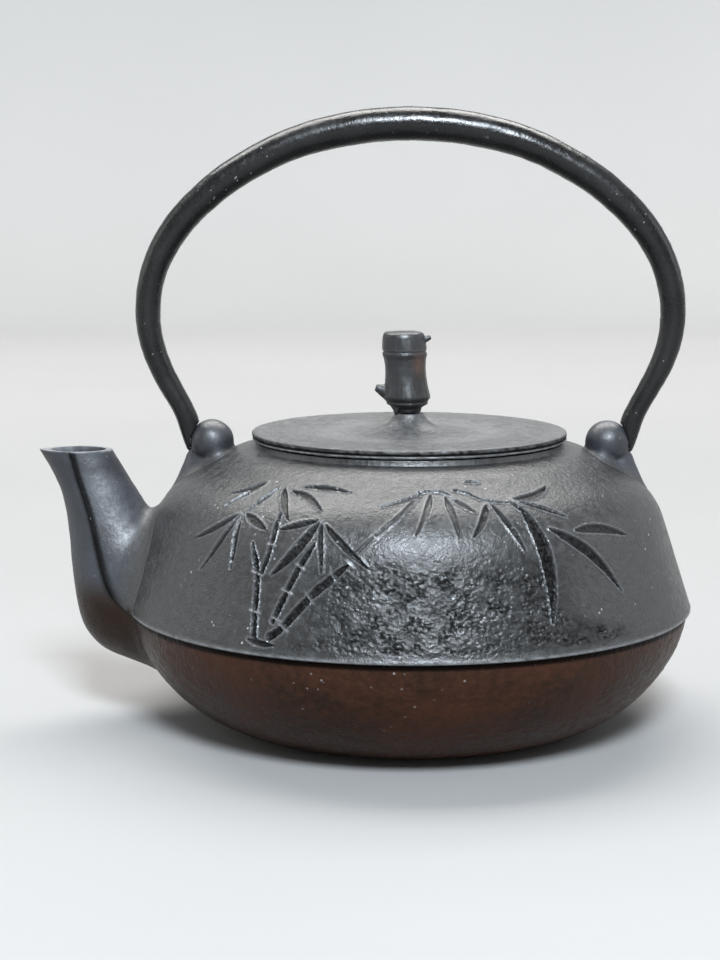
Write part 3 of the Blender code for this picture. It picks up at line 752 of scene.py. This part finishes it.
def spoutRing(station, step, point, quarter):
    # back edge, round to the ridge, in by the step, then round to the front edge, and back on the far side
    backX, backZ, ridgeX, ridgeZ, frontX, frontZ, width = station
    turns = np.linspace(0, math.pi / 2, quarter + 1)
    half = [(backX + (ridgeX - backX) * (1 - math.cos(turn)), width * math.sin(turn),
             backZ + (ridgeZ - backZ) * (1 - math.cos(turn))) for turn in turns]
    if step:
        for share, inset in ((0.025, 0.25), (0.045, 0.8), (0.065, 1.0)):
            half.append((ridgeX + (frontX - ridgeX) * share, width - step * inset,
                         ridgeZ + (frontZ - ridgeZ) * share))
    for turn in turns[-2::-1]:
        along = 1 - math.cos(turn)
        along = min(along, 0.90 + 0.1 * along) if step else along
        half.append((frontX + (ridgeX - frontX) * along, (width - step) * math.sin(turn) ** (1 + point),
                     frontZ + (ridgeZ - frontZ) * along))
    ring = half + [(x, -y, z) for x, y, z in half[-2:0:-1]]
    return [(x * mm, y * mm, z * mm + rimZ) for x, y, z in ring]


def spoutRings(stations, steps, step, point, quarter):
    path = smoothPath(stations, steps)
    last = len(path) - 1
    return [spoutRing(station, step, point * index / last, quarter) for index, station in enumerate(path)]


def makeBore():
    return sweepRings("waterway", spoutRings(spout["bore"], 3, 0.0, 0.2, 9))


def potCore(inset):
    # the pot's outer shape, a little smaller: what stands on the pot is trimmed to it
    low = bowlCurve(bowl["rim"] - inset, bowl["flat"], bowl["depth"] - inset, 30)
    side = [(radius - inset, height - inset * 0.3) for radius, height in outerSide if height > 1]
    return turnProfile("core", [(0.0, low[0][1])] + low[:-1] + side + [(0.0, side[-1][1])], 180)


def overPot(spots):
    # how far each spot stands out from the pot's skin, and which way that is
    radius = np.hypot(spots[:, 0], spots[:, 1])
    curve = np.array(bowlCurve(bowl["rim"], bowl["flat"], bowl["depth"], 40)[:-1]
                     + [corner for corner in outerSide if corner[1] > 0.2])
    around = spots[:, :2] / radius[:, None]
    gaps = np.hypot(radius[:, None] - curve[:, 0], spots[:, 2:3] - curve[:, 1])
    nearest = gaps.argmin(axis=1)
    run = np.gradient(curve, axis=0)
    run /= np.linalg.norm(run, axis=1)[:, None]
    normal = np.stack([run[:, 1], -run[:, 0]], axis=-1)[nearest]
    offset = np.stack([radius, spots[:, 2]], axis=-1) - curve[nearest]
    outward = np.stack([normal[:, 0] * around[:, 0], normal[:, 0] * around[:, 1], normal[:, 1]], axis=-1)
    return np.einsum("ij,ij->i", offset, normal), outward


def flareOnPot(spots, middles, reach, wide):
    # a fillet: what is near the pot's skin spreads along it, away from the piece's own middle line
    depth, outward = overPot(spots)
    away = spots - middles
    away -= np.einsum("ij,ij->i", away, outward)[:, None] * outward
    away /= np.maximum(np.linalg.norm(away, axis=1), 1e-6)[:, None]
    rise = np.clip(depth / reach, 0, 1)
    spread = wide * (1 - np.sqrt(np.clip(1 - (1 - rise) ** 2, 0, 1)))
    return spots + away * spread[:, None]


def makeSpout(bore):
    quarter = 22
    rings = spoutRings(spout["stations"], 9, spout["step"], spout["point"], quarter)
    piece = sweepRings("spout_body", rings)
    rings = np.array(rings) / mm - (0, 0, rimZ / mm)
    centers = (rings[:, 0] * 0.5 + rings[:, quarter] * 0.25 + rings[:, -quarter] * 0.25)
    spots = spotsOf(piece) / mm - (0, 0, rimZ / mm)
    owner = np.array([np.abs(np.linalg.norm(rings - spot, axis=2)).min(axis=1).argmin() for spot in spots])
    middles = centers[owner] * (1, 0, 1)
    spots = flareOnPot(spots, middles, spout["fillet"], spout["fillet"] * 0.9)
    upper = spots[:, 2] > 46.9
    lumps = grainOf(spots, 6.0) * 0.12 + grainOf(spots, 2.2) * 0.05
    away = spots - middles
    away /= np.maximum(np.linalg.norm(away, axis=1), 1e-6)[:, None]
    spots += away * (lumps * ~upper)[:, None]
    setSpots(piece, (spots + (0, 0, rimZ / mm)) * mm)
    faceOut(piece)
    combine(piece, potCore(1.2), "DIFFERENCE")
    outside = spotsOf(piece)
    combine(piece, bore, "DIFFERENCE")

    # masks: the lip, partly wear and partly painted highlight; the painted shadow beside the ridge; painted shade in
    # the waterway; the root on the pot; and the front's low part, brown as a painted reflection of the table
    spots = spotsOf(piece)
    skin = kdtree.KDTree(len(outside))
    for index, spot in enumerate(outside):
        skin.insert(spot, index)
    skin.balance()
    within = np.array([skin.find(spot)[2] > 0.02 * mm for spot in spots])
    spots = spots / mm - (0, 0, rimZ / mm)
    # partly wear and partly painted highlight along the mouth's lip
    setMask(piece, "edge", smoothStep(48.3, 48.7, spots[:, 2]) * np.clip(0.6 + grainOf(spots, 1.8) * 0.8, 0, 1))
    path = np.array(smoothPath(spout["stations"], 6))
    ridge = path[:, [2, 6, 3]]
    mirrored = spots * (1, 0, 1) + np.abs(spots * (0, 1, 0))
    seam = np.array([np.linalg.norm(ridge - spot, axis=1).min() for spot in mirrored])
    ahead = np.interp(spots[:, 2], ridge[:, 2], ridge[:, 0]) - spots[:, 0]
    front = smoothStep(0.0, 1.2, ahead)
    depth, _ = overPot(spots)
    shade = (1 - smoothStep(0.9, 2.2, seam)) * smoothStep(-1, 6, spots[:, 2])
    setMask(piece, "hollow", np.where(within & (spots[:, 2] < 48.4), 1.0, shade * 0.95))
    setMask(piece, "root", (1 - smoothStep(1.0, 7.0, depth)) * (1 - front))
    setMask(piece, "low", front * (1 - smoothStep(-1, 11, spots[:, 2])))
    fit(piece, "pot", satinIron, ["spout"])
    return piece


# ---- the lugs that carry the bail

lug = {"ball": 7.1, "x": 63.5, "bore": 2.2, "voxel": 0.42, "fillet": 2.4}
fin = [      # below the ball, outside: x, half depth along x, half width, height above the rim
    (63.5, 5.5, 6.0, 53.0), (63.3, 6.6, 5.6, 50.0), (64.5, 7.1, 3.9, 47.6), (65.4, 7.2, 5.2, 45.0),
    (66.8, 7.1, 6.0, 42.0), (68.6, 6.4, 6.3, 39.0), (71.0, 5.6, 6.3, 35.0)]
neck = [     # below the ball, inside, where the bail never comes
    (62.4, 4.0, 6.2, 53.0), (62.2, 4.4, 6.9, 50.0), (62.3, 4.5, 6.9, 47.0), (63.0, 4.8, 7.0, 43.0)]


def makeRod(name, side, start, end, radius):
    turns = np.arange(32) / 32 * math.tau
    rings = [[(side * x * mm, radius * mm * math.cos(turn), pivot.z + radius * mm * math.sin(turn))
              for turn in turns] for x in (start, end)]
    return sweepRings(name, rings)


def makeBall(side, radius):
    bpy.ops.object.select_all(action="DESELECT")
    bpy.ops.mesh.primitive_uv_sphere_add(segments=64, ring_count=40, radius=radius * mm)
    ball = bpy.context.object
    setSpots(ball, spotsOf(ball)[:, [2, 1, 0]] * (1, 1, -1) + (side * lug["x"] * mm, 0, pivot.z))
    faceOut(ball)
    return ball


def makeTail(levels, side):
    turns = np.arange(40) / 40 * math.tau
    rings = np.array([[(side * x + deep * math.cos(turn), wide * math.sin(turn), height) for turn in turns]
                      for x, deep, wide, height in smoothPath(levels, 5)])
    middles = np.repeat(rings.mean(axis=1), 40, axis=0)
    flared = flareOnPot(rings.reshape(-1, 3), middles, lug["fillet"], lug["fillet"] * 0.8)
    return sweepRings("tail", (flared.reshape(rings.shape) + (0, 0, rimZ / mm)) * mm)


def makeLug(side, name):
    piece = joinAll([makeBall(side, lug["ball"]), makeTail(fin, side), makeTail(neck, side)])
    named(piece, name + "_boss")
    melt(piece, lug["voxel"] * mm, 14)
    spots = spotsOf(piece)
    swell = grainOf(spots, 5 * mm) * 0.12 * mm
    middle = np.array([side * lug["x"] * mm, 0, pivot.z])
    away = (spots - middle) / np.linalg.norm(spots - middle, axis=1)[:, None]
    setSpots(piece, spots + away * swell[:, None])
    combine(piece, potCore(0.5), "DIFFERENCE")
    combine(piece, makeRod("lugBore", side, 65.3, 80, lug["bore"]), "DIFFERENCE")
    depth, _ = overPot(spotsOf(piece) / mm - (0, 0, rimZ / mm))
    setMask(piece, "root", 1 - smoothStep(0.3, 2.5, depth))
    fit(piece, "pot", satinIron, [name])
    return piece


# ---- the bail

bail = {
    "path": [  # x, height above the rim, half thickness, half width across
        (0, 152.5, 5.3, 5.8), (14, 151.6, 5.3, 5.8), (27, 149.2, 5.2, 5.7), (36.5, 146.4, 5.0, 5.6),
        (45.6, 142.4, 4.9, 5.5), (57.4, 135.6, 4.8, 5.4), (66.3, 128.4, 4.7, 5.2), (72.5, 122, 4.55, 5.1),
        (77.4, 115, 4.4, 5.0), (80.9, 107.8, 4.2, 4.8), (82.9, 100.5, 4.1, 4.7), (83.6, 93.7, 4.0, 4.6),
        (83.2, 86.9, 3.9, 4.4), (81.6, 80.2, 3.75, 4.2), (78.8, 73.4, 3.6, 4.0), (75.4, 67, 3.4, 3.8),
        (73, 62.6, 3.3, 3.6), (71.4, 59, 3.4, 3.4), (70.6, 56, 3.3, 3.1), (70.3, 53.2, 2.8, 2.8),
        (70.3, 50.6, 2.0, 2.2), (70.5, 49, 1.2, 1.5), (70.6, 48.4, 0.5, 0.7)],
    "sides": 48,
    "bumps": 0.10,
}


def makeBail():
    half = smoothPath(bail["path"], 6)
    stations = [tuple(spot) for spot in half[::-1]] + [(-x, z, thick, wide) for x, z, thick, wide in half[1:]]
    turns = np.arange(bail["sides"]) / bail["sides"] * math.tau
    rings = []
    for index, (x, z, thick, wide) in enumerate(stations):
        before, after = stations[max(index - 1, 0)], stations[min(index + 1, len(stations) - 1)]
        run = Vector((after[0] - before[0], after[1] - before[1])).normalized()
        rings.append([(x + run.y * thick * math.cos(turn), wide * math.sin(turn), z - run.x * thick * math.cos(turn))
                      for turn in turns])
    spots = np.array(rings)
    middles = spots.mean(axis=1, keepdims=True)
    away = spots - middles
    away /= np.linalg.norm(away, axis=2, keepdims=True)
    flat = spots.reshape(-1, 3)
    bumps = grainOf(flat, 2.6) + 0.6 * grainOf(flat, 1.3) + 1.2 * grainOf(flat, 9.0)
    fade = smoothStep(58, 66, flat[:, 2])
    spots += away * (bumps * fade * bail["bumps"]).reshape(spots.shape[0], -1, 1)
    piece = sweepRings("bail_handle", (spots + (0, 0, rimZ / mm)) * mm)
    for side in (1, -1):
        combine(piece, makeBall(side, lug["ball"] + 0.35), "DIFFERENCE")
        combine(piece, makeRod("bailPin", side, 66.0, 71.4, 1.9), "UNION")
    fit(piece, "bail", blackIron, ["handle"])
    return piece


# ---- the lid

lid = {"columns": 240, "rough": 0.16, "hole": 2.3}


def makeLid():
    edge = [(40.0, 45.9), (40.0, 52.6), (49.7, 52.62), (50.15, 52.72), (50.35, 53.0), (50.33, 53.3), (50.18, 53.5),
            (50.1, 53.7), (50.22, 53.95), (50.4, 54.15), (50.45, 54.5), (50.4, 54.9), (50.15, 55.2)]
    ring = linePoints((49.8, 55.32), (33.6, 55.3), 14)
    dish = [(32.6, 55.22), (31.8, 55.02), (31.0, 54.86), (30.0, 54.8)] + linePoints((29.0, 54.76), (20.0, 54.9), 6)
    flare = smoothPath([(18.0, 55.0), (13.0, 55.55), (9.6, 56.35), (6.9, 57.8), (5.4, 59.4), (4.75, 60.4)], 4)
    top = ring + dish + [tuple(spot) for spot in flare] + [(4.5, 60.75), (4.2, 60.8), (lid["hole"], 60.8)]
    under = [(lid["hole"], 52.3), (37.0, 52.3), (37.4, 51.9), (37.4, 45.9), (37.8, 45.6), (39.6, 45.6)]
    piece = turnProfile("lid_plate", top + under + edge + [top[0]], lid["columns"])
    spots = spotsOf(piece) / mm - (0, 0, rimZ / mm)
    radius = np.hypot(spots[:, 0], spots[:, 1])
    rimBand = (radius > 49.6) & (spots[:, 2] > 52.5)
    upper = rimBand & (spots[:, 2] > 53.6)
    chips = grainOf(spots, 1.5) + 0.7 * grainOf(spots, 0.75)
    spots[rimBand, :2] *= (1 + chips[rimBand] * lid["rough"] / 50)[:, None]
    spots[upper, 2] += chips[upper] * 0.06
    top = (spots[:, 2] > 54.5) & (radius < 49.4) & (radius > 8)
    spots[top, 2] += grainOf(spots[top], 8.0) * 0.05 + grainOf(spots[top], 2.4) * 0.03
    setSpots(piece, (spots + (0, 0, rimZ / mm)) * mm)
    # painted shade: the lid's side band, the groove below it and the underside of the edge are darkened
    hollow = np.where(upper & (spots[:, 2] < 55.1), np.clip(0.55 + chips * 0.6, 0, 1), 0.0)
    hollow[(radius > 49.2) & (spots[:, 2] > 53.4) & (spots[:, 2] < 54.0)] = 1.0
    hollow[(radius > 38) & (spots[:, 2] < 52.61)] = 0.9
    setMask(piece, "hollow", hollow)
    # painted highlight: a broken pale line along the lower edge
    lowEdge = (radius > 49.9) & (spots[:, 2] < 53.5) & (spots[:, 2] > 52.65)
    # a lighter ring round the dish and lighter grain near the outer ring, in the pale edge tone
    zone = np.exp(-((radius - 25.5) / 5.5) ** 2)
    inner = np.clip(0.42 * zone + 0.2 * grainOf(spots, 5.0) * smoothStep(42, 48, radius), 0, 1)
    inner *= spots[:, 2] > 54.2
    setMask(piece, "edge", np.where(lowEdge, np.clip(chips * 1.6 - 0.1, 0, 1), inner))
    fit(piece, "lid", lidIron, ["lid"])
    return piece


# ---- the knob: a short length of bamboo with two cut twigs

knob = {
    "outline": [
        (0, 61.15), (4.1, 61.15), (4.3, 61.5), (4.5, 62.6), (5.6, 63.3), (6.6, 63.8), (6.75, 64.1), (6.5, 64.5),
        (6.8, 65.0), (7.4, 65.6), (7.5, 66.3), (7.3, 67.2), (7.05, 68.4), (6.75, 70.2), (6.5, 73.0), (6.5, 76.0),
        (6.75, 78.3), (7.1, 79.5), (7.2, 80.1), (6.9, 80.4), (6.6, 80.6), (6.7, 80.85), (7.1, 81.15),
        (7.1, 81.9), (6.9, 84.2), (6.7, 85.6), (6.3, 86.5), (5.4, 86.85), (2.5, 86.9), (0, 86.95)],
    "lean": 0.055,           # millimetres sideways for each millimetre up
    "shift": 0.5,
    "voxel": 0.26,
    "streaks": 0.10,
}
twigs = [    # root, tip, root radius, tip radius
    ((-1.9, 0.0, 65.8), (-9.8, -0.8, 69.1), 6.2, 1.1), ((2.6, -0.4, 83.0), (8.6, -1.2, 85.3), 2.8, 0.7)]


def makeKnob():
    body = turnProfile("knob", [tuple(corner) for corner in knob["outline"]], 96)
    parts = [body]
    for start, end, root, tip in twigs:
        start, end = Vector(start), Vector(end)
        turn = (end - start).to_track_quat("Z", "Y")
        rings = []
        for share in np.linspace(0, 1, 9):
            radius = root + (tip - root) * share ** 0.6
            middle = start.lerp(end, share)
            ring = [middle + turn @ Vector((radius * math.cos(a), radius * math.sin(a), 0))
                    for a in np.arange(24) / 24 * math.tau]
            rings.append([(spot.x * mm, spot.y * mm, spot.z * mm + rimZ) for spot in ring])
        parts.append(sweepRings("twig", rings))
    piece = named(joinAll(parts), "bamboo_knob")
    melt(piece, knob["voxel"] * mm, 3)
    spots = spotsOf(piece) / mm - (0, 0, rimZ / mm)
    around = spots * (1, 1, 0)
    around /= np.maximum(np.linalg.norm(around, axis=1), 1e-6)[:, None]
    streaks = grainOf(spots * (1, 1, 0.22), 1.1) + 0.7 * grainOf(spots, 2.6)
    side = smoothStep(0, 2, 86.3 - spots[:, 2]) * smoothStep(62.5, 64, spots[:, 2])
    spots += around * (streaks * knob["streaks"] * side)[:, None]
    top = smoothStep(86.2, 86.6, spots[:, 2])
    spots[:, 2] += top * (grainOf(spots, 3.0) * 0.15 - 0.25 * np.exp(-(np.hypot(spots[:, 0], spots[:, 1]) / 1.6) ** 2))
    spots[:, 0] -= knob["lean"] * (spots[:, 2] - 61) + knob["shift"]
    setSpots(piece, (spots + (0, 0, rimZ / mm)) * mm)
    socket = turnProfile("socket", [(0, 60), (lid["hole"], 60), (lid["hole"], 73.3), (0, 73.3)], 32)
    combine(piece, socket, "DIFFERENCE")
    spots = spotsOf(piece) / mm - (0, 0, rimZ / mm)
    rust = np.exp(-((spots[:, 0] - 3.2) / 1.7) ** 2 - ((spots[:, 2] - 77) / 3.2) ** 2) * (spots[:, 1] < 0)
    setMask(piece, "hollow", np.clip(rust * (0.85 + 0.6 * grainOf(spots, 1.2)), 0, 1))
    setMask(piece, "edge", np.exp(-((spots[:, 2] - 81.2) / 0.35) ** 2) * 0.5)
    fit(piece, "knob", knobIron, ["lid_knob"])
    return piece


# ---- the infuser

infuser = {"foot": 37.1, "top": 40.9, "low": -9.0, "high": 43.0, "upright": 168, "hoops": 38, "wire": 0.17}


def makeInfuser():
    ring = [(42.0, 41.0), (42.35, 41.15), (42.5, 41.6), (42.35, 42.1), (42.2, 42.5), (42.2, 50.3), (42.35, 50.7),
            (42.8, 50.9), (45.6, 50.9), (46.1, 50.75), (46.3, 51.1), (46.15, 51.55), (45.7, 51.62), (42.6, 51.6),
            (41.9, 51.4), (41.5, 50.9), (41.5, 42.4), (41.3, 41.8), (41.5, 41.2), (42.0, 41.0)]
    rim = turnProfile("infuser_ring", ring, 180)
    fit(rim, "infuser", sheetSteel, ["infuser_rim"])

    pan = [(0, -9.3), (30, -9.3), (32, -9.0), (34, -9.3), (36.6, -9.3), (37.4, -9.0), (37.7, -8.4), (37.8, -6.9),
           (38.1, -6.7), (38.4, -7.0), (38.4, -9.0), (38.0, -9.7), (37.2, -10.0), (34, -10.0), (32, -9.7),
           (30, -10.0), (0, -10.0)]
    base = turnProfile("infuser_pan", pan, 180)
    fit(base, "infuser", sheetSteel, ["infuser_base"])

    uprights, hoops, wire = infuser["upright"], infuser["hoops"], infuser["wire"]
    heights = np.linspace(infuser["low"] + 0.3, infuser["high"], hoops)
    radii = infuser["foot"] + (infuser["top"] - infuser["foot"]) * (heights - infuser["low"]) / 50
    corners = np.arange(3) / 3 * math.tau
    pair = []
    for phase in range(2):
        turn = math.tau * phase / uprights
        rings = []
        for index, (radius, height) in enumerate(zip(radii, heights)):
            out = radius + (wire if (index + phase) % 2 else -wire)
            rings.append([((out + wire * math.cos(a)) * math.cos(turn) * mm - wire * math.sin(a) * math.sin(turn) * mm,
                           (out + wire * math.cos(a)) * math.sin(turn) * mm + wire * math.sin(a) * math.cos(turn) * mm,
                           height * mm + rimZ) for a in corners])
        pair.append(sweepRings("wire", rings))
    woven = joinAll(pair)
    pick(woven)
    bpy.ops.object.mode_set(mode="EDIT")
    bpy.ops.mesh.select_all(action="SELECT")
    bpy.ops.mesh.spin(steps=uprights // 2, dupli=True, angle=math.tau, center=(0, 0, 0), axis=(0, 0, 1))
    bpy.ops.object.mode_set(mode="OBJECT")
    faceOut(woven)
    parts = [woven]
    for index, (radius, height) in enumerate(zip(radii, heights)):
        bpy.ops.object.select_all(action="DESELECT")
        bpy.ops.mesh.primitive_torus_add(major_radius=1, minor_radius=0.1, major_segments=uprights, minor_segments=3)
        hoop = bpy.context.object
        spots = spotsOf(hoop)
        turns = np.arctan2(spots[:, 1], spots[:, 0])
        number = np.round(turns / math.tau * uprights).astype(int)
        out = radius + np.where((index + number) % 2, -wire, wire) + (np.hypot(spots[:, 0], spots[:, 1]) - 1) * 10 * wire
        rise = height + spots[:, 2] * 10 * wire
        setSpots(hoop, np.stack([out * np.cos(turns) * mm, out * np.sin(turns) * mm, rise * mm + rimZ], axis=-1))
        parts.append(hoop)
    weave = named(joinAll(parts), "infuser_weave")
    fit(weave, "infuser", wireSteel, ["infuser_mesh"], crease=60)


# ---- the floor, the light and the camera

studio = {
    # painted light: the floor's tone near the pot is darker and the wall's lighter, to even out how the lamps light
    # them
    "floor": gray(0.20, (1, 0.985, 0.965)),
    "wall": gray(0.45, (1, 0.985, 0.965)),
    "world": (0.92, 0.95, 1.0, 1.0),
    "worldStrength": 0.38,
    "lights": [  # name, place, aim, width, height, power, colour
        ("window", (0.16, -1.45, 1.36), (0, 0, 0.08), 0.46, 0.54, 100, (0.82, 0.91, 1.0)),
        ("ceiling", (-0.15, 0.72, 1.6), (0, 0, 0.08), 2.2, 0.9, 72, (1.0, 0.99, 0.97)),
        ("left", (-1.6, 0.1, 0.8), (0, 0, 0.08), 0.7, 0.9, 4, (1.0, 0.98, 0.95)),
        ("right", (1.6, 0.1, 0.8), (0, 0, 0.08), 0.7, 0.9, 4, (0.95, 0.97, 1.0))],
    "camera": (0.0, -0.6812, 0.1803),
    "down": 8.54,
    "turn": 1.33,
    "lens": 80.1,
}


def makeStudio():
    material, tree, shader, place = startMaterial("floorPaint")
    cloud = noiseAt(place, 3, 2).between(0.3, 0.7)
    away = place.node("ShaderNodeVectorMath", {"operation": "LENGTH"}, {0: place}, out=1)
    # painted light: the floor paint grows lighter away from the pot, so that the far wall looks as bright as the
    # well-lit floor near the pot
    tone = (away.between(0.3, 2.4) * 0.96 + cloud * 0.04).over(studio["floor"], studio["wall"])
    plug(tree, shader, Base_Color=tone, Roughness=0.75)
    # the floor curves up into a low wall all around, like a studio's backdrop
    profile = [(0, 0), (1600, 0)] + arcPoints((1600, 700), 700, -90, 0, 16)[1:] + [(2300, 1900)]
    floor = turnProfile("floor", [(radius, height - rimZ / mm) for radius, height in profile], 96)
    pick(floor)
    bpy.ops.object.mode_set(mode="EDIT")
    bpy.ops.mesh.select_all(action="SELECT")
    bpy.ops.mesh.flip_normals()
    bpy.ops.object.mode_set(mode="OBJECT")
    bpy.ops.object.shade_smooth()
    floor.data.materials.append(material)

    world = bpy.data.worlds.new("room")
    bpy.context.scene.world = world
    world.use_nodes = True
    sky = world.node_tree.nodes["Background"]
    sky.inputs["Color"].default_value = studio["world"]
    sky.inputs["Strength"].default_value = studio["worldStrength"]

    for name, spot, aim, width, height, power, color in studio["lights"]:
        bpy.ops.object.light_add(type="AREA", location=spot)
        lamp = bpy.context.object
        lamp.name = name
        lamp.rotation_euler = (Vector(aim) - Vector(spot)).to_track_quat("-Z", "Y").to_euler()
        lamp.data.shape = "RECTANGLE"
        lamp.data.size = width
        lamp.data.size_y = height
        lamp.data.energy = power
        lamp.data.color = color

    tilt = (math.radians(90 - studio["down"]), 0, math.radians(studio["turn"]))
    bpy.ops.object.camera_add(location=studio["camera"], rotation=tilt)
    camera = bpy.context.object
    camera.data.lens = studio["lens"]
    camera.data.sensor_width = 36
    camera.data.clip_end = 20
    bpy.context.scene.camera = camera
    bpy.context.scene.view_settings.view_transform = "Standard"


makeStudio()
print("studio ready")
makeShell(makeBore())
print("upper shell carved")
makeBowl(makeBore())
print("lower bowl turned")
makeSpout(makeBore())
print("spout swept")
makeLug(1, "lug_right")
makeLug(-1, "lug_left")
print("lugs melted")
makeBail()
print("bail swept")
makeLid()
makeKnob()
print("lid and knob turned")
makeInfuser()
print("infuser woven")

for nodeName, finish in (("knob_washer", sheetSteel), ("knob_tang", blackIron)):
    piece = frame["nodes"][nodeName]
    piece.data.materials.clear()
    piece.data.materials.append(finish)
